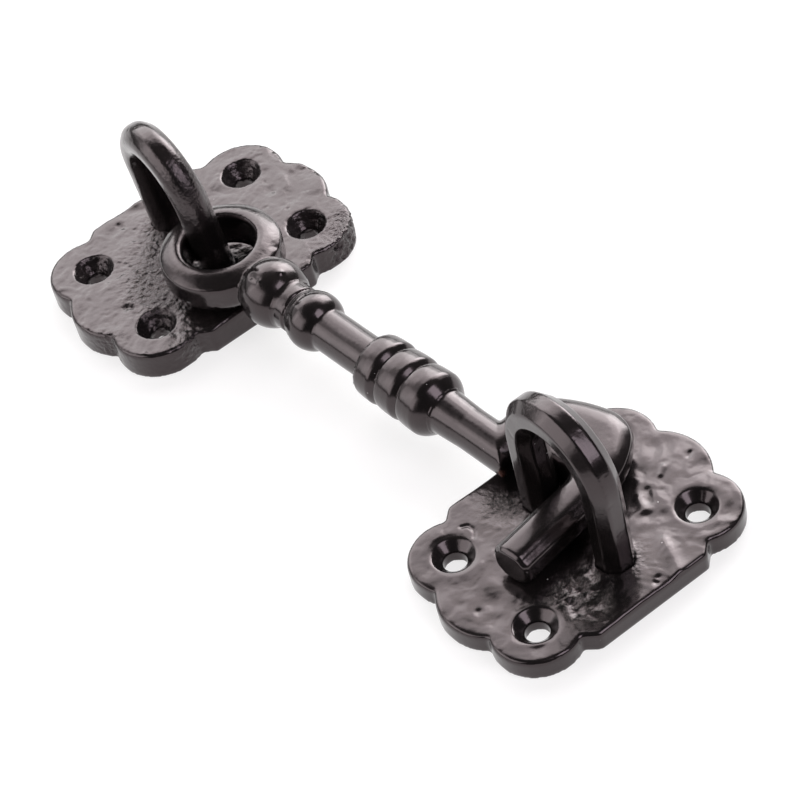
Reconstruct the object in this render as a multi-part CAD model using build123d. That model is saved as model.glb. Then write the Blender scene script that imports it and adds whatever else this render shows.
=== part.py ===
from build123d import *
import os
from math import asin, cos, degrees, radians, sin, tan

# Cabin hook: two scalloped wall plates lie on one flat surface, each with a
# riveted U staple. The hook's ring eye turns on one leg of the hook staple and
# its crooked finger drops through the keeper staple, round that staple's near leg.
# Backs of both plates lie on Z = 0, the arm runs along +X, and the origin is
# the centre of the hook plate's screw pattern. Millimetres.

# Outline of both plates, laid out from the screw pattern; the keeper plate is a little narrower
screw_pitch_x = 25.4
screw_pitch_y = 40.7
side_drop = 6.95
side_half_y = screw_pitch_y / 2 - side_drop
step_in = 3.2
step_run = 3.5
end_lobe_in = 0.35
end_lobe_y = screw_pitch_y / 2 - end_lobe_in
notch_r = 1.0
shoulder_r = 1.6
plate_edge_r = 0.8

# Hook plate
hook_plate_t = 6.4
hook_side_out = 11.2
hook_side_x = screw_pitch_x / 2 + hook_side_out
hook_lobe_r = 10.0
hook_end_r = 12.6

# Keeper plate
keeper_plate_t = 4.6
keeper_side_out = 10.7
keeper_side_x = screw_pitch_x / 2 + keeper_side_out
keeper_lobe_r = 9.3
keeper_end_r = 11.9

# Screw holes, for countersunk wood screws
screw_hole_d = 4.9
sink_d = 9.0
hook_sink_angle = 60.0
keeper_sink_angle = 90.0

# Staples: eight-sided rod, two straight legs and a half-round arch
rod_flats = 7.4
hook_rod_edge_r = 2.4
keeper_rod_edge_r = 0.5
leg_pitch = 22.4
leg_height = 19.3
leg_clear = 0.15
rivet_flare = 1.3
rivet_h = 1.6
hook_staple_x = -1.6
hook_staple_y = -0.4
hook_staple_turn = -3.8
hook_staple_lean = 4.0
keeper_staple_dx = 0.2
keeper_staple_dy = 0.7

# Ring eye of the arm
eye_outer_r = 13.45
eye_hole_r = 7.9
eye_h = 8.9
eye_lift = 0.4
eye_outer_round = 2.8
eye_inner_round = 1.1
eye_clear = 0.55
eye_rest = 1.85
eye_pull = 8.0
arm_yaw = 4.4

# Stem: distances along the arm from the eye's centre
ball_s = 17.3
ball_r = 7.6
neck_r = 4.1
neck_ring_s = 25.0
neck_ring_r = 5.3
neck_ring_w = 2.4
bead_s = 30.4
bead_r = 6.5
bead_end = 34.6
shaft_r = 4.7
collar_a = 50.4
collar_b = 71.4
groove_1 = 56.6
groove_2 = 63.3
collar_r = 7.25
rim_r = 6.9
groove_r = 6.2
collar_shoulder = 4.1
shaft_2_r = 4.85
shaft_end_r = 4.45

# Crook: a sharp corner, then a flat solid bend behind the keeper staple's near leg.
# Headings are measured in the arm's plane from the arm's own direction.
bar_r = 4.1
corner_s = 87.6
corner_turn = 92.0
out_run = 6.25
heel_bend_r = 7.2
crown_start = 31.5
crown_r = 27.2
crown_end = 12.0
knuckle_r = 5.3
sweep_start = -48.5
sweep_r = 18.0
web_drop = 0.12
web_round = 1.0
web_clear = 0.5

# Finger, and the near leg's place beside it
finger_heading = -86.0
finger_len = 23.4
finger_w = 9.0
finger_h = 8.3
finger_edge_r = 2.4
finger_ease = 1.2
finger_chamfer = 0.8
finger_rest = 0.28
leg_gap = 1.25
leg_below = 5.19


def plate_outline(side_x, lobe_r, end_r):
    """Face of the plate: straight sides, slanted steps, six round lobes."""
    step_x = side_x - step_in
    step_y = side_half_y + step_run
    waist = Polygon(
        (side_x, -side_half_y), (side_x, side_half_y), (step_x, step_y),
        (-step_x, step_y), (-side_x, side_half_y), (-side_x, -side_half_y),
        (-step_x, -step_y), (step_x, -step_y), align=None)
    corners = GridLocations(screw_pitch_x, screw_pitch_y, 2, 2) * Circle(lobe_r)
    ends = GridLocations(1, 2 * end_lobe_y, 1, 2) * Circle(end_r)
    face = waist + corners + ends
    shoulders = [v for v in face.vertices() if abs(abs(v.X) - side_x) < 0.01]
    face = fillet(shoulders, shoulder_r)
    notches = [v for v in face.vertices() if abs(v.Y) > step_y - 2.0 and is_notch(face, v)]
    return fillet(notches, notch_r)


def is_notch(face, vertex):
    """A notch is a corner where the outline turns inwards."""
    tangents = []
    for edge in face.edges():
        ends = (edge @ 0, edge @ 1)
        for k, end in enumerate(ends):
            if (end - Vector(*vertex)).length < 1e-4:
                tangents.append((edge % k) * (1 if k == 0 else -1))
    return len(tangents) == 2 and tangents[0].get_angle(tangents[1]) < 170


def rod_section(edge_r, extra=0.0):
    """Eight-sided rod with a flat towards each side of the loop and rounded edges."""
    shape = RegularPolygon(rod_flats / 2 + extra, 8, major_radius=False, rotation=22.5)
    return fillet(shape.vertices(), edge_r)


def leg_tails(thick, edge_r, extra=0.0):
    """Part of both legs inside the plate, with the flared rivet heads at its back."""
    bore = extrude(rod_section(edge_r, extra), amount=-(thick + 2))
    top_r = rod_flats / 2
    head_h = rivet_h + 1.0
    spread = rivet_flare * head_h / rivet_h
    head = Pos(0, 0, -thick + rivet_h - head_h / 2) * Cone(top_r + spread, top_r, head_h)
    leg = bore + head
    return Pos(-leg_pitch / 2, 0, 0) * leg + Pos(leg_pitch / 2, 0, 0) * leg


def staple(thick, edge_r):
    """Staple with its plate's face at Z = 0 and its loop in the XZ plane."""
    half = leg_pitch / 2
    up = Line((-half, 0, -0.5), (-half, 0, leg_height))
    arch = ThreePointArc((-half, 0, leg_height), (0, 0, leg_height + half), (half, 0, leg_height))
    down = Line((half, 0, leg_height), (half, 0, -0.5))
    path = Wire([up, arch, down])
    section = Plane(origin=path @ 0, x_dir=(1, 0, 0), z_dir=path % 0) * rod_section(edge_r)
    return sweep(section, path=path) + leg_tails(thick, edge_r)


def plate(outline, thick, sink_angle, place, edge_r):
    """Plate with screw holes, and rivet holes where its staple stands."""
    body = extrude(outline, amount=thick)
    body = fillet(body.faces().sort_by(Axis.Z)[-1].outer_wire().edges(), plate_edge_r)
    sink_h = (sink_d - screw_hole_d) / 2 / tan(radians(sink_angle / 2))
    rise = 0.5 * tan(radians(sink_angle / 2))
    sink = Pos(0, 0, thick + 0.5 - (sink_h + 0.5) / 2) * Cone(
        screw_hole_d / 2, sink_d / 2 + rise, sink_h + 0.5)
    bore = Pos(0, 0, thick / 2) * Cylinder(screw_hole_d / 2, thick + 2)
    body -= GridLocations(screw_pitch_x, screw_pitch_y, 2, 2) * (sink + bore)
    return body - place * (Pos(0, 0, 1.5) * leg_tails(thick + 1.5, edge_r, leg_clear))


def collar_ring(start, end):
    """Ring with a crisp rim at its start, falling in a round shoulder to a groove."""
    return ThreePointArc((start, rim_r), (start + 0.4 * (end - start), collar_r), (end, groove_r))


def stem():
    """Turned part of the arm, from the ball to the corner of the crook."""
    neck_a = ball_s + (ball_r ** 2 - neck_r ** 2) ** 0.5
    ring_a = neck_ring_s - neck_ring_w / 2
    ring_b = neck_ring_s + neck_ring_w / 2
    crown_b = collar_b - collar_shoulder
    drop = collar_r - shaft_2_r - 0.3
    tail = 2 * shaft_end_r
    edges = [
        ThreePointArc((ball_s - ball_r, 0), (ball_s, ball_r), (neck_a, neck_r)),
        Line((neck_a, neck_r), (ring_a, neck_r)),
        ThreePointArc((ring_a, neck_r), (neck_ring_s, neck_ring_r), (ring_b, neck_r)),
        ThreePointArc((ring_b, neck_r), (bead_s, bead_r), (bead_end, shaft_r + 0.3)),
        Line((bead_end, shaft_r + 0.3), (bead_end, shaft_r)),
        Line((bead_end, shaft_r), (collar_a, shaft_r)),
        Line((collar_a, shaft_r), (collar_a, rim_r)),
        collar_ring(collar_a, groove_1),
        Line((groove_1, groove_r), (groove_1, rim_r)),
        collar_ring(groove_1, groove_2),
        Line((groove_2, groove_r), (groove_2, rim_r)),
        ThreePointArc(
            (groove_2, rim_r), ((crown_b + groove_2) / 2, collar_r - 0.08), (crown_b, collar_r)),
        ThreePointArc(
            (crown_b, collar_r),
            (crown_b + collar_shoulder * 0.7, collar_r - drop * 0.4),
            (collar_b, collar_r - drop)),
        Line((collar_b, collar_r - drop), (collar_b, shaft_2_r)),
        Line((collar_b, shaft_2_r), (corner_s - tail, shaft_end_r)),
        Line((corner_s - tail, shaft_end_r), (corner_s + tail, shaft_end_r)),
        Line((corner_s + tail, shaft_end_r), (corner_s + tail, 0)),
        Line((corner_s + tail, 0), (ball_s - ball_r, 0)),
    ]
    turned = revolve(make_face(Wire(edges)), Axis.X)
    return split(turned, bisect_by=mitre(), keep=Keep.BOTTOM)


def crook_lines():
    """Centre lines of the run out from the corner, the bend and the straight finger."""
    corner = Vector(corner_s, 0)
    run = Line(corner, corner + Vector(1, 0).rotate(Axis.Z, corner_turn) * out_run)
    heel = JernArc(run @ 1, run % 1, heel_bend_r, crown_start - corner_turn)
    crown = JernArc(heel @ 1, heel % 1, crown_r, crown_end - crown_start)
    knuckle = JernArc(crown @ 1, crown % 1, knuckle_r, sweep_start - crown_end)
    curve = JernArc(knuckle @ 1, knuckle % 1, sweep_r, finger_heading - sweep_start)
    finger = Line(curve @ 1, curve @ 1 + (curve % 1) * finger_len)
    return run, heel, crown, knuckle, curve, finger


def mitre():
    """Plane across the sharp corner, halfway between the shaft and the run."""
    run = crook_lines()[0]
    return Plane(origin=run @ 0, x_dir=(0, 0, 1), z_dir=Vector(1, 0, 0) + run % 0)


def leg_in_crook():
    """Centre of the keeper staple's near leg, beside the start of the finger."""
    finger = crook_lines()[5]
    return finger @ 0 - Vector(finger_w / 2 + leg_gap + rod_flats / 2, leg_below)


def crook():
    """Round bar along the crook's lines, filled in behind the near leg."""
    run, heel, crown, knuckle, curve, finger = crook_lines()
    tail = 2 * shaft_end_r
    post = Plane(origin=run @ 0, z_dir=run % 0) * Pos(0, 0, (out_run - tail) / 2) * Cylinder(
        shaft_end_r, out_run + tail)
    post = split(post, bisect_by=mitre(), keep=Keep.TOP)
    heel_ends = [
        Plane(origin=heel @ 0, z_dir=heel % 0) * Circle(shaft_end_r),
        Plane(origin=heel @ 1, z_dir=heel % 1) * Circle(bar_r),
    ]
    outer = sweep(heel_ends, path=heel, multisection=True)
    lead = Line(curve @ 1, curve @ 1 + (curve % 1) * bar_r)
    path = Wire([crown, knuckle, curve, lead])
    bar = sweep(Plane(origin=path @ 0, z_dir=path % 0) * Circle(bar_r), path=path)
    finger_plane = Plane(origin=finger @ 0, x_dir=(finger % 0).cross(Vector(0, 0, 1)), z_dir=finger % 0)
    straight = extrude(finger_plane * RectangleRounded(finger_w, finger_h, finger_edge_r), amount=finger_len)
    root = straight.faces().sort_by_distance(finger @ 0)[0]
    straight = chamfer(root.edges(), finger_ease)
    tip = straight.faces().sort_by_distance(finger @ 1)[0]
    straight = chamfer(tip.edges(), finger_chamfer)

    web_y = leg_in_crook().Y + rod_flats / 2 + web_clear
    bend = make_face(Wire([run, heel, crown, knuckle, curve, finger, Line(finger @ 1, run @ 0)]))
    bend -= Pos(corner_s, web_y - finger_len) * Rectangle(4 * finger_len, 2 * finger_len)
    web = extrude(bend, amount=bar_r - web_drop, both=True)
    front = web.faces().sort_by(Axis.Y)[0]
    web = fillet(front.edges().filter_by(Axis.X), web_round)
    return post + outer + bar + straight + web


def arm():
    """The whole hook casting about the centre of its ring eye, arm along +X."""
    ring_w = eye_outer_r - eye_hole_r
    section = Pos(eye_hole_r + ring_w / 2, eye_lift) * Rectangle(ring_w, eye_h)
    corners = section.vertices().sort_by(Axis.X)
    section = fillet(corners[:2], eye_inner_round)
    section = fillet(section.vertices().sort_by(Axis.X)[-2:], eye_outer_round)
    return revolve(Plane.XZ * section, Axis.Z) + stem() + crook()


hook_staple_place = (
    Pos(hook_staple_x, hook_staple_y, hook_plate_t)
    * Rot(0, 0, hook_staple_turn) * Rot(hook_staple_lean, 0, 0))

# The eye is drawn outwards until its hole all but touches the staple's leg
arm_z = hook_plate_t + eye_rest + eye_h / 2 - eye_lift
pivot = (hook_staple_place * Pos(leg_pitch / 2, 0, arm_z - hook_plate_t)).position
reach = eye_hole_r - rod_flats / 2 - eye_clear
eye_x = pivot.X + reach * cos(radians(eye_pull))
eye_y = pivot.Y + reach * sin(radians(eye_pull))

# The arm dips until its finger all but lies on the keeper plate
tip = crook_lines()[5] @ 1
arm_fall = arm_z - keeper_plate_t - finger_h / 2 - finger_rest
arm_dip = degrees(asin(arm_fall / tip.X))
arm_place = Pos(eye_x, eye_y, arm_z) * Rot(0, 0, arm_yaw) * Rot(0, arm_dip, 0)

# The keeper stands with its near leg inside the crook
near_leg = (arm_place * Pos(leg_in_crook())).position
keeper_x = near_leg.X + leg_pitch / 2 - keeper_staple_dx
keeper_y = near_leg.Y - keeper_staple_dy
keeper_place = Pos(keeper_x, keeper_y, 0)
keeper_staple_place = Pos(keeper_staple_dx, keeper_staple_dy, keeper_plate_t)

hook_outline = plate_outline(hook_side_x, hook_lobe_r, hook_end_r)
keeper_outline = plate_outline(keeper_side_x, keeper_lobe_r, keeper_end_r)
hook_staple = hook_staple_place * staple(hook_plate_t, hook_rod_edge_r)
keeper_staple = keeper_staple_place * staple(keeper_plate_t, keeper_rod_edge_r)
nodes = {
    "hook_plate": plate(
        hook_outline, hook_plate_t, hook_sink_angle, hook_staple_place, hook_rod_edge_r),
    "hook_staple": split(hook_staple, bisect_by=Plane.XY, keep=Keep.TOP),
    "keeper_plate": keeper_place * plate(
        keeper_outline, keeper_plate_t, keeper_sink_angle, keeper_staple_place, keeper_rod_edge_r),
    "keeper_staple": keeper_place * split(keeper_staple, bisect_by=Plane.XY, keep=Keep.TOP),
    "hook_arm": arm_place * arm(),
}

os.makedirs("parts", exist_ok=True)
for name, shape in nodes.items():
    export_step(shape, f"parts/{name}.step")

print("swing axis through", pivot, "eye centre", eye_x, eye_y, arm_z)
print("keeper plate at", keeper_x, keeper_y, "arm dip", arm_dip)
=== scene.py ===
from math import cos, pi, radians, sin, tan

import bmesh
import bpy
import numpy as np
from mathutils import Matrix, Vector


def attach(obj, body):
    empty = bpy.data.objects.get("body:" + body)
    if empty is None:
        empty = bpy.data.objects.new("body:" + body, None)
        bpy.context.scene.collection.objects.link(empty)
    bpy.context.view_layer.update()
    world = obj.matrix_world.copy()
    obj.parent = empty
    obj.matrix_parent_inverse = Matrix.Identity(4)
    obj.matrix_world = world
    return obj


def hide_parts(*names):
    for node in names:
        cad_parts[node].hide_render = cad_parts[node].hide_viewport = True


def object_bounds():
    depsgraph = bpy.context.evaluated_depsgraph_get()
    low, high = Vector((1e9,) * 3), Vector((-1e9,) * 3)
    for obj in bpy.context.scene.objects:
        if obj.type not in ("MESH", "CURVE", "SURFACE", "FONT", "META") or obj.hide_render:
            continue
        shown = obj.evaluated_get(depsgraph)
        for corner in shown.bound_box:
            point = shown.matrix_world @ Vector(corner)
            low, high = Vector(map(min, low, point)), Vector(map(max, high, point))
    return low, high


# Cabin hook in gloss black enamel over rough cast iron. Each casting is a fine
# skin laid over its solid, then shaped, waved, pitted and chipped as the real one is.
# Sizes in the shaping functions are millimetres.

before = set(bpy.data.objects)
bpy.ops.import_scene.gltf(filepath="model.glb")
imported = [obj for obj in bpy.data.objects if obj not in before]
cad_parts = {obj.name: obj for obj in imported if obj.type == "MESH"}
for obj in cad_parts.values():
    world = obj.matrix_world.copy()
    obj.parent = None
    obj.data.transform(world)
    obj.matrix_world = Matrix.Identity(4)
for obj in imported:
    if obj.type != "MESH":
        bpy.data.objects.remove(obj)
cad_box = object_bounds()

MM = 0.001
WELD = 0.002  # points of a solid closer than this are one point
PLATE_GRAIN, STAPLE_GRAIN, ARM_GRAIN = 0.32, 0.26, 0.31  # how fine the skins are
FAR = 1e9  # further off than any point

HOOK_TOP, KEEPER_TOP = 6.4, 4.6  # heights of the plates' upper faces
HOLE_X, HOLE_Y = 25.4 / 2, 40.7 / 2
KEEPER_X, KEEPER_Y = 123.408, 4.404
HOOK_LEGS = ((-12.78, 0.35), (9.57, -1.13))
KEEPER_LEGS = ((112.41, 5.1), (134.81, 5.1))


# Castings: solid, fine skin, plain mesh

def plain_mesh(piece, name):
    """Turns a piece with its modifiers into a plain mesh piece and drops the old one."""
    seen = bpy.context.evaluated_depsgraph_get()
    mesh = bpy.data.meshes.new_from_object(piece.evaluated_get(seen))
    mesh.name = name
    old_mesh = piece.data
    bpy.data.objects.remove(piece)
    bpy.data.meshes.remove(old_mesh)
    finished = bpy.data.objects.new(name, mesh)
    bpy.context.scene.collection.objects.link(finished)
    return finished


def casting(node, name, grain):
    """Even, fine skin over one of the solids."""
    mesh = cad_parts[node].data.copy()
    mesh.materials.clear()
    welder = bmesh.new()
    welder.from_mesh(mesh)
    bmesh.ops.remove_doubles(welder, verts=welder.verts, dist=WELD * MM)
    welder.to_mesh(mesh)
    welder.free()
    piece = bpy.data.objects.new(name + "_solid", mesh)
    bpy.context.scene.collection.objects.link(piece)
    skin = piece.modifiers.new("skin", "REMESH")
    skin.mode = "VOXEL"
    skin.voxel_size = grain * MM
    return plain_mesh(piece, name)


def points_of(piece):
    """Places and normals of a piece's points."""
    count = len(piece.data.vertices)
    place = np.empty(count * 3, np.float32)
    normal = np.empty(count * 3, np.float32)
    piece.data.vertices.foreach_get("co", place)
    piece.data.vertices.foreach_get("normal", normal)
    return place.reshape(-1, 3).astype(float) / MM, normal.reshape(-1, 3).astype(float)


def set_points(piece, place):
    """Moves a piece's points to new places."""
    piece.data.vertices.foreach_set("co", (place * MM).astype(np.float32).ravel())
    piece.data.update()


def set_shares(piece, **shares):
    """Stores shares from 0 to 1 at each point, for the skin's waves, pits, grit and chips."""
    for name, share in shares.items():
        layer = piece.data.attributes.new(name, "FLOAT", "POINT")
        layer.data.foreach_set("value", np.clip(share, 0, 1).astype(np.float32))


def step(value, low, high):
    """Smooth rise from 0 at low to 1 at high."""
    t = np.clip((value - low) / (high - low), 0, 1)
    return t * t * (3 - 2 * t)


def stretch(value, start, full, fade, end):
    """Smooth rise from start to full, and smooth fall from fade to end."""
    return step(value, start, full) * (1 - step(value, fade, end))


def soften(piece, share, rounds):
    """Rounds edges off where the share is high, as a worn mould and thick paint do."""
    place, _ = points_of(piece)
    count = len(place)
    share = np.broadcast_to(share, count)[:, None]
    edges = np.empty(len(piece.data.edges) * 2, np.int32)
    piece.data.edges.foreach_get("vertices", edges)
    a, b = edges.reshape(-1, 2).T
    near = (np.bincount(a, minlength=count) + np.bincount(b, minlength=count))[:, None]
    for _ in range(rounds):
        around = [np.bincount(a, place[b, k], count) + np.bincount(b, place[a, k], count)
                  for k in range(3)]
        place += 0.5 * share * (np.stack(around, axis=1) / near - place)
    set_points(piece, place)


# Listed marks of the casting

def spots(place, marks):
    """Soft round patches: each mark is x, y, z, radius and height."""
    height = np.zeros(len(place))
    for x, y, z, radius, high in marks:
        apart = ((place - (x, y, z)) ** 2).sum(axis=1)
        height += high * np.exp(-apart / radius ** 2)
    return height


def creases(place, marks):
    """Raised or sunk lines: each mark is a list of points, a half width and a height."""
    height = np.zeros(len(place))
    for points, half_width, high in marks:
        nearest = np.full(len(place), FAR)
        for start, end in zip(np.array(points[:-1], float), np.array(points[1:], float)):
            run = end - start
            along = np.clip(((place - start) @ run) / (run @ run), 0, 1)
            apart = ((place - start - along[:, None] * run) ** 2).sum(axis=1)
            nearest = np.minimum(nearest, apart)
        height += high * np.exp(-nearest / half_width ** 2)
    return height


def mark(piece, height):
    """Moves a piece's points out along their normals by a height at each."""
    place, normal = points_of(piece)
    set_points(piece, place + normal * height[:, None])


# Skin of a casting: broad waves and dents from the mould, pits from gas, grit from burnt-on sand

def link(tree, out_node, out_name, in_node, in_name):
    """Joins two nodes' sockets."""
    tree.links.new(out_node.outputs[out_name], in_node.inputs[in_name])


def math_node(tree, operation, a, b):
    """Maths node on two values, each a number or a (node, socket) pair."""
    node = tree.nodes.new("ShaderNodeMath")
    node.operation = operation
    for socket, value in zip(node.inputs, (a, b)):
        if isinstance(value, tuple):
            tree.links.new(value[0].outputs[value[1]], socket)
        else:
            socket.default_value = value
    return node


SKIN_SIZES = ("Wave height", "Wave length", "Dent height", "Dent length", "Pit depth", "Pit size",
              "Grit height", "Grit size", "Seed")
PIT_LEVEL, PIT_GAIN = 0.14, -6.0  # where a noise turns into pits, and how steeply


def cast_skin_tree():
    """Geometry tree that moves a casting's skin out and in by its waves, dents, pits and grit."""
    tree = bpy.data.node_groups.new("cast_skin", "GeometryNodeTree")
    face = tree.interface
    face.new_socket("Geometry", in_out="INPUT", socket_type="NodeSocketGeometry")
    for name in SKIN_SIZES:
        socket = face.new_socket(name, in_out="INPUT", socket_type="NodeSocketFloat")
        socket.default_value = 1.0
    face.new_socket("Finish", in_out="INPUT", socket_type="NodeSocketMaterial")
    face.new_socket("Geometry", in_out="OUTPUT", socket_type="NodeSocketGeometry")

    sizes = tree.nodes.new("NodeGroupInput")
    place = tree.nodes.new("GeometryNodeInputPosition")
    normal = tree.nodes.new("GeometryNodeInputNormal")

    def noise(length, detail, roughness, distortion):
        frequency = math_node(tree, "DIVIDE", 1.0 / MM, (sizes, length))
        texture = tree.nodes.new("ShaderNodeTexNoise")
        texture.noise_dimensions = "4D"
        texture.inputs["Detail"].default_value = detail
        texture.inputs["Roughness"].default_value = roughness
        texture.inputs["Distortion"].default_value = distortion
        link(tree, place, "Position", texture, "Vector")
        link(tree, sizes, "Seed", texture, "W")
        link(tree, frequency, "Value", texture, "Scale")
        return math_node(tree, "SUBTRACT", (texture, 0), 0.5)

    def scaled(height, size, share_name):
        share = tree.nodes.new("GeometryNodeInputNamedAttribute")
        share.data_type = "FLOAT"
        share.inputs["Name"].default_value = share_name
        height = math_node(tree, "MULTIPLY", (height, "Value"), (sizes, size))
        return math_node(tree, "MULTIPLY", (height, "Value"), (share, "Attribute"))

    waves = scaled(noise("Wave length", 1.0, 0.4, 0.5), "Wave height", "waves")
    folds = math_node(tree, "ABSOLUTE", (noise("Dent length", 2.0, 0.5, 0.9), "Value"), 0.0)
    dents = scaled(folds, "Dent height", "waves")
    gas = noise("Pit size", 1.0, 0.5, 0.3)
    hollow = math_node(tree, "SUBTRACT", (gas, "Value"), PIT_LEVEL)
    hollow = math_node(tree, "MAXIMUM", (hollow, "Value"), 0.0)
    hollow = math_node(tree, "MULTIPLY", (hollow, "Value"), PIT_GAIN)
    pits = scaled(hollow, "Pit depth", "pits")
    grit = scaled(noise("Grit size", 3.0, 0.6, 0.2), "Grit height", "grit")
    height = waves
    for part in (dents, pits, grit):
        height = math_node(tree, "ADD", (height, "Value"), (part, "Value"))
    height = math_node(tree, "MULTIPLY", (height, "Value"), MM)
    offset = tree.nodes.new("ShaderNodeVectorMath")
    offset.operation = "SCALE"
    link(tree, normal, "Normal", offset, 0)
    link(tree, height, "Value", offset, "Scale")

    move = tree.nodes.new("GeometryNodeSetPosition")
    link(tree, sizes, "Geometry", move, "Geometry")
    link(tree, offset, "Vector", move, "Offset")
    realize = tree.nodes.new("GeometryNodeRealizeInstances")
    link(tree, move, "Geometry", realize, "Geometry")
    paint = tree.nodes.new("GeometryNodeSetMaterial")
    link(tree, realize, "Geometry", paint, "Geometry")
    link(tree, sizes, "Finish", paint, "Material")
    out = tree.nodes.new("NodeGroupOutput")
    link(tree, paint, "Geometry", out, "Geometry")
    return tree


def lay_skin(piece, tree, finish, wave, dent, pit, grit, seed):
    """Runs the skin tree on a casting and returns it as a plain mesh piece.

    Wave, dent, pit and grit are each a height and a length. The skin stays in the whole part's box.
    """
    name = piece.name
    piece.name = name + "_bare"
    layer = piece.modifiers.new("skin", "NODES")
    layer.node_group = tree
    by_name = dict(zip(SKIN_SIZES, (*wave, *dent, *pit, *grit, seed)), Finish=finish)
    for socket in tree.interface.items_tree:
        if socket.in_out == "INPUT" and socket.name in by_name:
            layer[socket.identifier] = by_name[socket.name]
    done = plain_mesh(piece, name)
    low, high = (np.array(corner) / MM for corner in cad_box)
    set_points(done, np.clip(points_of(done)[0], low, high))
    done.data.polygons.foreach_set("use_smooth", [True] * len(done.data.polygons))
    return done


# Finish: gloss black enamel

MIX_UNDER, MIX_OVER, MIX_RESULT = 6, 7, 2  # colour sockets of a Mix node, which share their names


def enamel():
    """Thick gloss black enamel: brownish black, softly uneven, with pale specks that are partly
    dust and partly painted glints, rough where there is grit.
    """
    finish = bpy.data.materials.new("black_enamel")
    finish.use_nodes = True
    tree = finish.node_tree
    shader = tree.nodes["Principled BSDF"]
    shader.inputs["IOR"].default_value = 1.56
    shader.inputs["Specular Tint"].default_value = (1.0, 0.80, 0.83, 1)
    shader.inputs["Coat Weight"].default_value = 0.25
    shader.inputs["Coat Roughness"].default_value = 0.08
    shader.inputs["Coat IOR"].default_value = 1.5

    where = tree.nodes.new("ShaderNodeTexCoord")

    def noise(scale, detail, roughness=0.5):
        texture = tree.nodes.new("ShaderNodeTexNoise")
        texture.inputs["Scale"].default_value = scale
        texture.inputs["Detail"].default_value = detail
        texture.inputs["Roughness"].default_value = roughness
        link(tree, where, "Object", texture, "Vector")
        return texture

    def stored(name):
        share = tree.nodes.new("ShaderNodeAttribute")
        share.attribute_name = name
        return share

    def laid_over(under, share, colour):
        node = tree.nodes.new("ShaderNodeMix")
        node.data_type = "RGBA"
        link(tree, *under, node, MIX_UNDER)
        link(tree, *share, node, "Factor")
        node.inputs[MIX_OVER].default_value = colour
        return node

    # Colour: two blacks, pale specks that are partly dust and partly painted glints, brown where
    # the paint is chipped
    tone = tree.nodes.new("ShaderNodeValToRGB")
    tone.color_ramp.elements[0].position = 0.35
    tone.color_ramp.elements[0].color = (0.005, 0.0045, 0.0045, 1)
    tone.color_ramp.elements[1].position = 0.70
    tone.color_ramp.elements[1].color = (0.010, 0.008, 0.008, 1)
    link(tree, noise(140, 3), "Fac", tone, "Fac")
    # Pale specks laid into the colour: partly dust, partly painted glints
    dots = tree.nodes.new("ShaderNodeTexVoronoi")
    dots.inputs["Scale"].default_value = 230
    link(tree, where, "Object", dots, "Vector")
    lone = tree.nodes.new("ShaderNodeSeparateColor")
    link(tree, dots, "Color", lone, "Color")
    small = math_node(tree, "LESS_THAN", (dots, "Distance"), 0.034)
    few = math_node(tree, "GREATER_THAN", (lone, "Red"), 0.55)
    specks = math_node(tree, "MULTIPLY", (small, "Value"), (few, "Value"))
    # Pale specks are partly dust and partly painted glints
    dust_and_glint_specks = laid_over((tone, "Color"), (specks, "Value"), (0.42, 0.41, 0.41, 1))
    worn = laid_over((dust_and_glint_specks, MIX_RESULT), (stored("chips"), "Fac"), (0.16, 0.075, 0.06, 1))
    link(tree, worn, MIX_RESULT, shader, "Base Color")

    # Gloss: a little duller in patches and on grit
    grit = stored("grit")
    dull = tree.nodes.new("ShaderNodeMapRange")
    dull.inputs["From Min"].default_value = 0.3
    dull.inputs["From Max"].default_value = 0.7
    dull.inputs["To Min"].default_value = 0.15
    dull.inputs["To Max"].default_value = 0.24
    link(tree, noise(260, 4, 0.6), "Fac", dull, "Value")
    sandy = math_node(tree, "MULTIPLY", (grit, "Fac"), 0.06)
    duller = math_node(tree, "ADD", (dull, "Result"), (sandy, "Value"))
    link(tree, duller, "Value", shader, "Roughness")

    # Relief: the brushed paint's fine peel, and sand grains under it
    peel = tree.nodes.new("ShaderNodeBump")
    peel.inputs["Strength"].default_value = 0.16
    peel.inputs["Distance"].default_value = 0.08 * MM
    link(tree, noise(900, 3), "Fac", peel, "Height")
    sand = tree.nodes.new("ShaderNodeBump")
    sand.inputs["Distance"].default_value = 0.30 * MM
    link(tree, grit, "Fac", sand, "Strength")
    link(tree, noise(1400, 3, 0.6), "Fac", sand, "Height")
    link(tree, peel, "Normal", sand, "Normal")
    link(tree, sand, "Normal", shader, "Normal")
    link(tree, sand, "Normal", shader, "Coat Normal")
    return finish


# Plates

PAINT_GAP = (3.9, 5.4)  # from a leg's centre: where run paint is full, and where it ends
PAINT_DEPTH = (1.2, 0.3)  # below the upper face: where run paint starts, and where it is full
PAINT_CLOSE, PAINT_RISE = 0.24, 0.3
BORE_PAINT = 0.3


def near_centres(place, centres, radius, spread):
    """Share from 1 at holes or legs to 0 beyond them."""
    share = np.zeros(len(place))
    for x, y in centres:
        apart = np.hypot(place[:, 0] - x, place[:, 1] - y)
        share = np.maximum(share, 1 - step(apart, radius, radius + spread))
    return share


def near_holes(place, centre_x, centre_y, radius):
    """Share from 1 at a plate's screw holes to 0 beyond their rims."""
    centres = [(centre_x + x, centre_y + y) for x in (-HOLE_X, HOLE_X) for y in (-HOLE_Y, HOLE_Y)]
    return near_centres(place, centres, radius, 1.0)


def off_back(place):
    """Share from 0 at the flat backs to 1 just above them."""
    return step(place[:, 2], 0.3, 1.2)


def upper_face(place, normal, top):
    """Share from 1 on a plate's upper face to 0 on its sides and in its holes."""
    return step(normal[:, 2], 0.5, 0.9) * step(place[:, 2], top - 1.0, top - 0.4)


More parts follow.
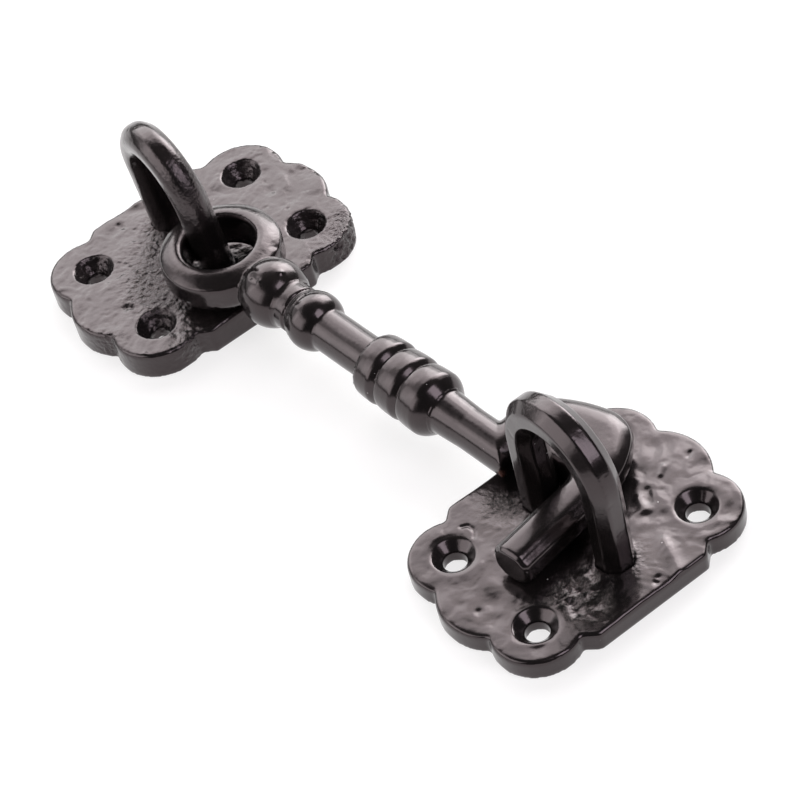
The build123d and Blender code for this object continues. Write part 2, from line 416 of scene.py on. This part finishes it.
def fill_paint(piece, legs, top):
    """Paint that has run into the gap between a plate and its staple's legs."""
    place, _ = points_of(piece)
    start, full = (top - depth for depth in PAINT_DEPTH)
    for x, y in legs:
        out = place[:, :2] - (x, y)
        apart = np.hypot(out[:, 0], out[:, 1])
        share = (1 - step(apart, *PAINT_GAP)) * step(place[:, 2], start, full)
        away = out / np.maximum(apart, 0.1)[:, None]
        place[:, :2] -= away * (PAINT_CLOSE * share)[:, None]
        place[:, 2] += PAINT_RISE * share
    set_points(piece, place)
    soften(piece, near_centres(place, legs, 5.0, 1.5), 3)


def on_keeper(marks):
    """Puts marks given by x, y, radius and height on the keeper plate's upper face."""
    return [(x, y, KEEPER_TOP, radius, high) for x, y, radius, high in marks]


KEEPER_DENTS = on_keeper((
    (125.5, -21.5, 0.7, -0.16), (121.6, -22.8, 1.0, -0.12), (126.1, -18.2, 1.8, -0.18),
    (129.7, -20.2, 1.7, -0.20), (140.9, -18.8, 2.0, -0.22), (109.9, -21.6, 1.8, -0.20),
    (121.7, 23.3, 1.6, -0.24), (131.2, 16.4, 1.2, -0.18), (133.3, 18.9, 1.2, -0.16),
    (141.3, 28.1, 2.0, -0.24), (145.0, 6.6, 0.5, -0.30), (144.3, 7.7, 0.4, -0.25),
    (135.4, -7.5, 1.1, 0.34), (137.2, -7.7, 0.9, -0.34), (139.6, -8.5, 1.2, -0.34),
    (136.2, -4.9, 1.0, -0.34), (138.6, -5.4, 1.4, 0.34), (133.8, -2.1, 1.3, 0.34),
    (136.6, -2.2, 1.4, 0.34), (141.0, -3.9, 1.6, -0.25), (135.9, -9.6, 0.9, 0.30),
    (130.0, 33.0, 2.6, -0.22), (119.0, 30.0, 2.4, -0.22), (148.0, 20.0, 2.2, -0.22),
    (104.0, -16.0, 2.2, 0.2), (115.0, -24.0, 2.4, -0.2)))
KEEPER_ROUGH = on_keeper(((108, -0.5, 4.5, 0.8), (136.5, -5, 5, 0.55), (131, -6, 5, 0.25)))
KEEPER_CREASES = [
    ([(x, y, KEEPER_TOP) for x, y in line], half_width, high) for line, half_width, high in (
        (((106.3, -10.4), (106.8, -9.3), (108.2, -9.1), (109.2, -9.4), (110.2, -10.2)),
         0.40, -0.22),
        (((125.2, 32.3), (124.7, 33.3)), 0.45, -0.24),
        (((123.6, 27.0), (124.8, 25.2)), 0.55, 0.24),
        (((126.1, 20.8), (128.3, 19.4)), 1.0, -0.22),
        (((126.4, 18.2), (129.4, 17.2)), 1.0, 0.22),
        (((138.0, 14.5), (142.0, 12.9), (146.0, 11.4)), 1.2, 0.28))]


def keeper_plate(tree, finish):
    """Thin plate with a hammered face and clean countersinks."""
    piece = casting("keeper_plate", "keeper_plate_cast", PLATE_GRAIN)
    soften(piece, 1.0, 3)
    place, normal = points_of(piece)
    top = upper_face(place, normal, KEEPER_TOP)
    open_top = top * (1 - near_holes(place, KEEPER_X, KEEPER_Y, 4.7))
    mark(piece, open_top * (spots(place, KEEPER_DENTS) + creases(place, KEEPER_CREASES)))
    fill_paint(piece, KEEPER_LEGS, KEEPER_TOP)
    above = off_back(place)
    legs = near_centres(place, KEEPER_LEGS, 3.6, 3.5)
    rough = spots(place, KEEPER_ROUGH)
    set_shares(piece,
               waves=above * (0.10 + 0.90 * open_top),
               pits=open_top * 0.2,
               grit=above * (0.03 + open_top * (rough + 0.55 * legs)))
    return lay_skin(piece, tree, finish, wave=(0.62, 8.0), dent=(0.36, 6.0), pit=(0.3, 3.0),
                    grit=(1.0, 1.0), seed=8.0)


# Dents on the upper face, then chips and crumbs along the broken lobe
HOOK_PLATE_DENTS = (
    (3.3, -22.1, 6.4, 0.8, -0.55), (4.2, -21.2, 6.4, 0.5, -0.40), (-20.3, -8.5, 6.4, 0.9, -0.20),
    (-19.0, -8.0, 6.4, 0.7, -0.18), (-2.6, 21.5, 6.4, 1.6, -0.30), (22.5, 21.5, 4.5, 0.9, -1.10),
    (22.8, 23.5, 2.5, 0.8, -1.00), (21.5, 25.8, 4.0, 0.8, -1.10), (20.8, 27.0, 2.0, 0.7, -1.00),
    (19.0, 28.8, 3.6, 0.8, -1.00), (22.2, 24.6, 5.4, 0.7, -0.90), (20.0, 28.0, 5.5, 0.7, -1.00),
    (23.0, 20.5, 2.2, 0.7, -0.90), (17.0, 30.0, 4.6, 0.7, -0.90), (22.9, 22.3, 0.9, 0.7, -0.90),
    (21.8, 25.4, 1.4, 0.7, -0.95), (18.2, 29.4, 1.8, 0.8, -0.90), (22.7, 22.6, 3.6, 0.5, 0.35),
    (21.9, 25.0, 2.7, 0.5, 0.35), (20.2, 27.6, 3.7, 0.5, 0.35), (18.4, 29.1, 5.0, 0.5, 0.35))
HOOK_PLATE_ROUGH = (
    (-10, -5, 6.4, 5, 0.7), (-3, -11, 6.4, 6, 0.9), (4, -16, 6.4, 5, 0.9), (12, -13, 6.4, 6, 0.8),
    (13, -1, 6.4, 7, 0.4), (18, 29, 4, 4, 0.9), (21, 26, 3, 4.5, 1.3), (23, 22, 2, 4, 1.1),
    (8, -30, 3, 3.5, 0.8), (23, -19, 4, 3.5, 0.8))


def hook_plate(tree, finish):
    """Thick plate with a rough, sandy face, paint in its bores and a broken lobe."""
    piece = casting("hook_plate", "hook_plate_cast", PLATE_GRAIN)
    soften(piece, 1.0, 3)
    fill_paint(piece, HOOK_LEGS, HOOK_TOP)
    place, normal = points_of(piece)
    holes = near_holes(place, 0, 0, 4.3)
    bores = near_holes(place, 0, 0, 2.6) * (1 - step(np.abs(normal[:, 2]), 0.3, 0.8))
    top = upper_face(place, normal, HOOK_TOP)
    bore_paint = BORE_PAINT * bores * step(place[:, 2], 0.1, 0.5)
    mark(piece, bore_paint + spots(place, HOOK_PLATE_DENTS))
    above = off_back(place)
    legs = near_centres(place, HOOK_LEGS, 3.6, 4.0)
    rough = spots(place, HOOK_PLATE_ROUGH)
    set_shares(piece,
               waves=above * (0.25 + 0.75 * top) * (1 - 0.6 * holes),
               pits=above * (0.2 + 0.3 * top),
               grit=above * (0.09 + rough + 0.5 * legs * top + 0.35 * holes * (1 - top)))
    return lay_skin(piece, tree, finish, wave=(0.95, 8.0), dent=(0.70, 5.0), pit=(0.40, 2.2),
                    grit=(1.3, 1.0), seed=3.0)


# Staples

HOOK_STAPLE_ROUGH = ((9.8, -2.5, 35, 5, 1.0), (12.1, -4.9, 28.7, 4, 0.9))
KEEPER_STAPLE_ROUGH = ((119.6, 3.3, 38, 1.6, 1.0), (113, 5, 5, 2.5, 0.8))


def hook_staple(tree, finish):
    """Staple with rounded edges, worn rough on its crown."""
    piece = casting("hook_staple", "hook_staple_cast", STAPLE_GRAIN)
    soften(piece, 1.0, 6)
    place, _ = points_of(piece)
    above = off_back(place)
    crown = step(place[:, 2], 24, 34)
    set_shares(piece,
               waves=above,
               pits=above * (0.4 + 0.4 * crown),
               grit=above * (0.10 + 0.4 * spots(place, HOOK_STAPLE_ROUGH)))
    return lay_skin(piece, tree, finish, wave=(0.10, 10.0), dent=(0.02, 5.0), pit=(0.10, 1.6),
                    grit=(0.6, 0.7), seed=2.0)


def keeper_staple(tree, finish):
    """Staple with crisp edges."""
    piece = casting("keeper_staple", "keeper_staple_cast", STAPLE_GRAIN)
    soften(piece, 1.0, 2)
    place, _ = points_of(piece)
    above = off_back(place)
    set_shares(piece,
               waves=above,
               pits=above * 0.3,
               grit=above * (0.04 + 0.6 * spots(place, KEEPER_STAPLE_ROUGH)))
    return lay_skin(piece, tree, finish, wave=(0.20, 8.0), dent=(0.06, 5.0), pit=(0.2, 2.2),
                    grit=(0.4, 0.8), seed=6.0)


# Arm, shaped in its own frame: x along the shaft from the eye's centre, z up through the eye

ARM_EYE = np.array((13.1626, -1.0449, 12.3))
ARM_TURN = np.array(Matrix.Rotation(radians(4.4), 3, "Z") @ Matrix.Rotation(radians(1.695), 3, "Y"))
# Turned stretches: distance along the shaft, radius
NECK = (
    (22.4, 5.66), (22.9, 5.42), (23.4, 5.32), (24.2, 5.34), (25.6, 5.34), (25.9, 5.26),
    (26.15, 4.98), (26.4, 5.0), (26.8, 5.3), (27.4, 5.62), (28.2, 5.97))
COLLAR = (
    (50.6, 6.72), (50.9, 6.98), (51.4, 7.08), (53.0, 7.2), (54.7, 7.24), (55.1, 7.14),
    (55.5, 6.92), (56.2, 6.42), (56.45, 6.24), (56.6, 6.28), (56.85, 6.86), (57.2, 7.02),
    (58.0, 7.12), (59.6, 7.22), (61.4, 7.24), (61.8, 7.14), (62.2, 6.92), (62.9, 6.42),
    (63.15, 6.24), (63.3, 6.28), (63.55, 6.86), (63.9, 7.02), (64.6, 7.12), (66.4, 7.22),
    (68.0, 7.22), (68.6, 7.08), (69.4, 6.70), (70.2, 6.12), (70.9, 5.5), (71.3, 5.1))

EYE_TOP, EYE_DROP = 4.85, 1.9  # height of the ring's upper face, and its fall to the outer edge
EYE_DOME_START, EYE_DOME_WIDTH = 9.0, 4.45

BEND_FROM = 84  # the bend lies beyond this place along the shaft
BEND_CORNER, BEND_HEADING, BEND_RUN = (87.6, 0.0), 92.0, 6.25
BEND_ARCS = ((7.2, 31.5), (27.2, 12.0), (5.3, -48.5), (18.0, -86.0))  # radius, heading at its end
BEND_TOP, BEND_DROP, BEND_HALF = 4.08, 2.0, 4.1
BEND_FACE = 4.07  # height of the flat inside the bend

FINGER_HEADING = radians(BEND_ARCS[-1][1])
FINGER_ALONG = np.array((cos(FINGER_HEADING), sin(FINGER_HEADING)))
FINGER_ACROSS = np.array((FINGER_ALONG[1], -FINGER_ALONG[0]))
FINGER_SQUARE = (4.5, 4.15, 7)  # half width, half height and squareness of the solid's section
FINGER_FULL = (4.55, 4.15, 2.7)  # the same of the painted casting's section

ARM_DENTS = (
    (31.7, -3.1, 18.4, 0.4, 0.30), (33.4, 1.7, 18.6, 0.6, 0.28), (39.4, -2.1, 15.3, 0.5, 0.32),
    (22.4, 6.8, 16.2, 1.2, -0.10), (23.1, 7.3, 15.4, 0.7, -0.10))
ARM_CREASES = ((((29.4, -3.1, 18.5), (31.0, -3.1, 18.5)), 0.8, -0.32),)
ARM_CHIPS = ((105.0, 1.8, 9.2, 0.8, 1.3), (105.1, 2.2, 8.0, 0.6, 1.0))


def to_arm(place):
    """Places in the arm's own frame."""
    return (place - ARM_EYE) @ ARM_TURN


def from_arm(local):
    """Places in the part's frame."""
    return local @ ARM_TURN.T + ARM_EYE


def turn_to(local, profile):
    """Brings a turned stretch of the arm to a profile of (distance, radius) points."""
    along, radius = np.array(profile).T
    here = (local[:, 0] > along[0]) & (local[:, 0] < along[-1])
    now = np.hypot(local[here, 1], local[here, 2])
    local[here, 1:] *= (np.interp(local[here, 0], along, radius) / now)[:, None]


def turn_arm(piece):
    """Turned neck and collar, cut twice so that the skin lies evenly on them."""
    for rounds in (5, 0):
        place, _ = points_of(piece)
        local = to_arm(place)
        turn_to(local, NECK)
        turn_to(local, COLLAR)
        set_points(piece, from_arm(local))
        along = local[:, 0]
        neck = stretch(along, 22.6, 23.0, 27.4, 28.0)
        collar = stretch(along, 50.9, 51.2, 70.6, 71.0)
        soften(piece, neck + collar, rounds)


def dome_eye(local):
    """Lets the ring eye's upper face fall away to a crisp outer edge."""
    out = np.hypot(local[:, 0], local[:, 1])
    dome = EYE_TOP - EYE_DROP * np.clip((out - EYE_DOME_START) / EYE_DOME_WIDTH, 0, 1) ** 2
    share = (1 - step(local[:, 0], 10.0, 13.5)) * (out < 14)
    over = np.maximum(local[:, 2] - dome, 0) * (local[:, 2] > 1)
    local[:, 2] -= share * over


def bend_outline():
    """Centre line of the solid bend, from the corner round to the start of the finger."""
    at = np.array(BEND_CORNER)
    heading = BEND_HEADING
    points = [at]
    at = at + BEND_RUN * np.array((cos(radians(heading)), sin(radians(heading))))
    points.append(at)
    for radius, end in BEND_ARCS:
        centre = at + radius * np.array((sin(radians(heading)), -cos(radians(heading))))
        for angle in np.radians(np.linspace(heading, end, 12)[1:]):
            points.append(centre + radius * np.array((-np.sin(angle), np.cos(angle))))
        at = points[-1]
        heading = end
    return np.array(points)


def inside(points, outline):
    """Which points lie inside a closed outline."""
    within = np.zeros(len(points), bool)
    x, y = points.T
    for (xa, ya), (xb, yb) in zip(outline, np.roll(outline, -1, axis=0)):
        if ya != yb:
            within ^= ((ya > y) != (yb > y)) & (x < (xb - xa) * (y - ya) / (yb - ya) + xa)
    return within


def fill_bend(local, outline):
    """Levels the upper face inside the bend."""
    flat = (local[:, 2] > 3.4) & (local[:, 0] > BEND_FROM)
    flat[flat] = inside(local[flat, :2], outline)
    local[flat, 2] = np.maximum(local[flat, 2], BEND_FACE)


def crisp_bend(local, outline):
    """Fills the bend's rounded outer side up to a shallow dome with a crisp edge."""
    near = np.full(len(local), FAR)
    passed = np.zeros(len(local))
    for number, (start, end) in enumerate(zip(outline[:-1], outline[1:])):
        run = end - start
        along = np.clip(((local[:, :2] - start) @ run) / (run @ run), 0, 1)
        apart = np.hypot(*(local[:, :2] - start - along[:, None] * run).T)
        passed = np.where(apart < near, (number + along) / (len(outline) - 1), passed)
        near = np.minimum(near, apart)
    upper = (near < 4.3) & (local[:, 2] > 0.3) & (local[:, 0] > BEND_FROM)
    outer = upper & ~inside(local[:, :2], outline)
    share = stretch(passed, 0.10, 0.25, 0.84, 0.97) * outer
    dome = BEND_TOP - BEND_DROP * np.minimum(near / BEND_HALF, 1) ** 2
    local[:, 2] += share * step(local[:, 2], 0.3, 1.6) * np.maximum(dome - local[:, 2], 0)


def round_finger(local, start):
    """Brings the finger's squared section to a fuller, rounder one."""
    along = (local[:, :2] - start) @ FINGER_ALONG
    across = (local[:, :2] - start) @ FINGER_ACROSS
    here = (along > 0.3) & (np.abs(across) < 5.2)
    across, up = across[here], local[here, 2]
    angle = np.arctan2(up, across)
    cosine, sine = np.abs(np.cos(angle)), np.abs(np.sin(angle))

    def reach(half_width, half_height, power):
        return ((cosine / half_width) ** power + (sine / half_height) ** power) ** (-1 / power)

    pulled = np.minimum(reach(*FINGER_FULL) / reach(*FINGER_SQUARE), 1.0)
    ratio = 1 + (pulled - 1) * step(along[here], 0.3, 3.0)
    local[here, :2] += (across * ratio - across)[:, None] * FINGER_ACROSS
    local[here, 2] = up * ratio


def hook_arm(tree, finish):
    """Arm with its ring eye, turned neck and collar, solid bend and finger."""
    piece = casting("hook_arm", "hook_arm_cast", ARM_GRAIN)
    soften(piece, 1.0, 2)
    turn_arm(piece)
    place, _ = points_of(piece)
    local = to_arm(place)
    dome_eye(local)
    bend = bend_outline()
    fill_bend(local, bend)
    crisp_bend(local, bend)
    round_finger(local, bend[-1])
    set_points(piece, from_arm(local))
    along, aside, up = local.T
    eye = 1 - step(along, 12, 15)
    soften(piece, eye, 3)
    bend_face = step(along, BEND_FROM, 86) * step(up, 2.2, 3.2) * step(aside, 0.0, 3.0)
    soften(piece, bend_face, 30)
    place, _ = points_of(piece)
    mark(piece, spots(place, ARM_DENTS) + creases(place, ARM_CREASES))
    turned = stretch(along, 22, 23, 28, 29) + stretch(along, 49.5, 50.5, 71.5, 72.5)
    set_shares(piece,
               waves=(0.45 + 0.55 * eye) * (1 - 0.8 * turned),
               pits=0.10 + 0.4 * eye,
               grit=0.03 + 0.10 * eye,
               chips=spots(place, ARM_CHIPS))
    return lay_skin(piece, tree, finish, wave=(0.28, 8.0), dent=(0.12, 5.0), pit=(0.25, 2.2),
                    grit=(0.3, 0.8), seed=5.0)


skin_tree = cast_skin_tree()
black_enamel = enamel()
pieces = (
    (hook_plate(skin_tree, black_enamel), "hook_plate", "plates"),
    (hook_staple(skin_tree, black_enamel), "hook_staple", "plates"),
    (keeper_plate(skin_tree, black_enamel), "keeper_plate", "plates"),
    (keeper_staple(skin_tree, black_enamel), "keeper_staple", "plates"),
    (hook_arm(skin_tree, black_enamel), "hook_arm", "hook"),
)
for piece, node, body in pieces:
    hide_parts(node)
    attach(piece, body)


# Studio: white floor, bright panels behind and to the left, a softbox at the right

LAMP_AIM = Vector((0.065, 0.0, 0.01))
# Name, direction round and up, spread across and up, brightness. Panels of one light overlap,
# so that each large light fades towards its edges.
LAMPS = (
    ("high_panel", 236, 40, 92, 46, 1.65),
    ("high_panel_middle", 236, 38, 66, 42, 1.07),
    ("high_panel_low", 241, 32, 46, 32, 1.07),
    ("main_softbox", 208, 27, 38, 46, 2.47),
    ("main_softbox_core", 204, 22, 22, 32, 3.96),
    ("left_panel", 344, 28, 60, 44, 1.32),
    ("left_panel_core", 344, 25, 44, 32, 0.99),
    ("fill_panel", 298, 34, 52, 46, 0.74),
    ("right_softbox", 108, 45, 26, 38, 3.63, (0.95, 0.92, 1.0)),
)


def white_floor():
    """Wide floor that looks white and still takes the hook's soft shadow."""
    finish = bpy.data.materials.new("white_floor")
    finish.use_nodes = True
    tree = finish.node_tree
    tree.nodes.clear()
    paint = tree.nodes.new("ShaderNodeBsdfDiffuse")
    paint.inputs["Color"].default_value = (0.30, 0.295, 0.295, 1)
    glow = tree.nodes.new("ShaderNodeEmission")
    glow.inputs["Color"].default_value = (1, 0.99, 0.99, 1)
    ray = tree.nodes.new("ShaderNodeLightPath")
    seen = math_node(tree, "MAXIMUM", (ray, "Is Camera Ray"), (ray, "Is Glossy Ray"))
    seen = math_node(tree, "MAXIMUM", (seen, "Value"), (ray, "Is Transmission Ray"))
    amount = math_node(tree, "MULTIPLY", (seen, "Value"), 0.75)
    link(tree, amount, "Value", glow, "Strength")
    both = tree.nodes.new("ShaderNodeAddShader")
    link(tree, paint, "BSDF", both, 0)
    link(tree, glow, "Emission", both, 1)
    out = tree.nodes.new("ShaderNodeOutputMaterial")
    link(tree, both, "Shader", out, "Surface")
    bpy.ops.mesh.primitive_plane_add(size=6, location=(0.1, 0, -0.0002))
    floor = bpy.context.object
    floor.name = "floor"
    floor.data.materials.append(finish)


def panel(name, turn, rise, wide, high, glow, colour=(1, 1, 1)):
    """Softbox one metre from the hook: its direction and spread in degrees, and its brightness."""
    lamp = bpy.data.lights.new(name, "AREA")
    lamp.shape = "RECTANGLE"
    lamp.size = 2 * tan(radians(wide / 2))
    lamp.size_y = 2 * tan(radians(high / 2))
    lamp.energy = glow * pi * lamp.size * lamp.size_y
    lamp.color = colour
    holder = bpy.data.objects.new(name, lamp)
    bpy.context.scene.collection.objects.link(holder)
    level = cos(radians(rise))
    away = Vector((sin(radians(turn)) * level, -cos(radians(turn)) * level, sin(radians(rise))))
    holder.location = LAMP_AIM + away
    holder.rotation_euler = away.to_track_quat("Z", "Y").to_euler()


def studio():
    """Floor, lamps, faint even light from all round, and plain colours."""
    white_floor()
    for lamp in LAMPS:
        panel(*lamp)
    world = bpy.data.worlds.new("studio")
    bpy.context.scene.world = world
    world.use_nodes = True
    sky = world.node_tree.nodes["Background"]
    sky.inputs["Color"].default_value = (1, 1, 1, 1)
    sky.inputs["Strength"].default_value = 0.07
    bpy.context.scene.view_settings.view_transform = "Standard"


def photo_camera():
    """Camera at the photograph's place and angle."""
    lens = bpy.data.cameras.new("camera")
    lens.lens = 131.485
    lens.sensor_width = 36
    lens.shift_x = 0.00494
    lens.shift_y = 0.00149
    lens.clip_start = 0.01
    holder = bpy.data.objects.new("camera", lens)
    bpy.context.scene.collection.objects.link(holder)
    holder.location = (0.450458, -0.188277, 0.425081)
    holder.rotation_euler = (radians(44.30376), radians(11.02014), radians(52.42728))
    bpy.context.scene.camera = holder


studio()
photo_camera()
